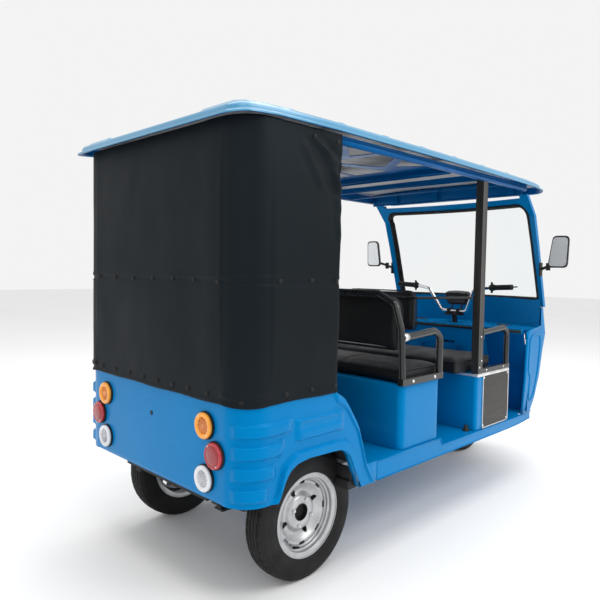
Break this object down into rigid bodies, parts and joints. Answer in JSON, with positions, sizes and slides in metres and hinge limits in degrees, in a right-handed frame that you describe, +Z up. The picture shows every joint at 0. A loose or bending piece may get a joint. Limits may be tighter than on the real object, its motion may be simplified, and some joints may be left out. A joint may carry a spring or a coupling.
{
  "type": "three-wheeled passenger rickshaw",
  "caption": "Enclosed-front electric passenger rickshaw with roof, benches, rear curtain, handlebar steering and free-turning wheels.",
  "frame": {"origin": "centre of the vehicle's box on the ground", "axes": "+X forward, +Y to the vehicle's left, +Z up"},
  "size_m": [2.8223, 1.516, 1.848],
  "materials": {
    "body_blue": "gloss",
    "roof_blue": "gloss",
    "chassis_black": "satin",
    "chassis_grey": "rough",
    "tube_black": "satin",
    "brushed_panel": "brushed",
    "seat_vinyl": "grained",
    "curtain_fabric": "coated cloth",
    "seal_rubber": "matt",
    "black_plastic": "fine grain",
    "clear_glass": "polished",
    "mirror_face": "polished",
    "lamp_amber": "ribbed lens",
    "lamp_red": "ribbed lens",
    "lamp_white": "ribbed lens",
    "lamp_clear": "clear lens",
    "bar_chrome": "polished",
    "rim_silver": "silver paint",
    "tyre_rubber": "moulded"
  },
  "bodies": {
    "body": {"chassis_frame": "chassis_black", "rear_axle": "chassis_grey", "drive_motor": "chassis_black", "leaf_springs": "chassis_black", "floor_pan": "body_blue", "rear_body": "body_blue", "rear_deck": "body_blue", "rear_bench_cushion": "seat_vinyl", "rear_bench_backrest": "seat_vinyl", "middle_bench_base": "body_blue", "battery_pack": "black_plastic", "middle_bench_cushion": "seat_vinyl", "middle_bench_backrest": "seat_vinyl", "driver_seat_base": "body_blue", "driver_side_panels": "brushed_panel", "driver_seat_cushion": "seat_vinyl", "driver_backrest": "seat_vinyl", "seat_frames": "tube_black", "roof_posts": "tube_black", "rear_curtain": "curtain_fabric", "roof_shell": "roof_blue", "roof_frame": "body_blue", "roof_lattice": "body_blue", "windscreen_frame": "body_blue", "windscreen_seal": "seal_rubber", "windscreen_glass": "clear_glass", "front_cowl": "body_blue", "dash_panel": "body_blue", "mirror_housings": "black_plastic", "mirror_glasses": "mirror_face", "lamps_amber": "lamp_amber", "lamps_red": "lamp_red", "lamps_white": "lamp_white", "headlamps": "lamp_clear"},
    "front_end": {"steering_fork": "chassis_black", "handlebar": "bar_chrome", "handlebar_grips": "seal_rubber", "instrument_pod": "black_plastic", "front_mudguard": "black_plastic"},
    "front_wheel": {"front_rim": "rim_silver", "front_tyre": "tyre_rubber"},
    "rear_left_wheel": {"rear_left_rim": "rim_silver", "rear_left_tyre": "tyre_rubber"},
    "rear_right_wheel": {"rear_right_rim": "rim_silver", "rear_right_tyre": "tyre_rubber"}
  },
  "joints": [
    {"name": "steering", "type": "hinge", "parent": "body", "child": "front_end", "pos_m": [0.9825, 0, 0.98], "axis": [-0.2079, 0, 0.9781], "range_deg": [-25, 25]},
    {"name": "front_wheel_spin", "type": "hinge", "parent": "front_end", "child": "front_wheel", "pos_m": [1.135, 0, 0.262], "axis": [0, 1, 0], "continuous": true},
    {"name": "rear_left_wheel_spin", "type": "hinge", "parent": "body", "child": "rear_left_wheel", "pos_m": [-0.925, 0.4325, 0.262], "axis": [0, 1, 0], "continuous": true},
    {"name": "rear_right_wheel_spin", "type": "hinge", "parent": "body", "child": "rear_right_wheel", "pos_m": [-0.925, -0.4325, 0.262], "axis": [0, 1, 0], "continuous": true}
  ]
}
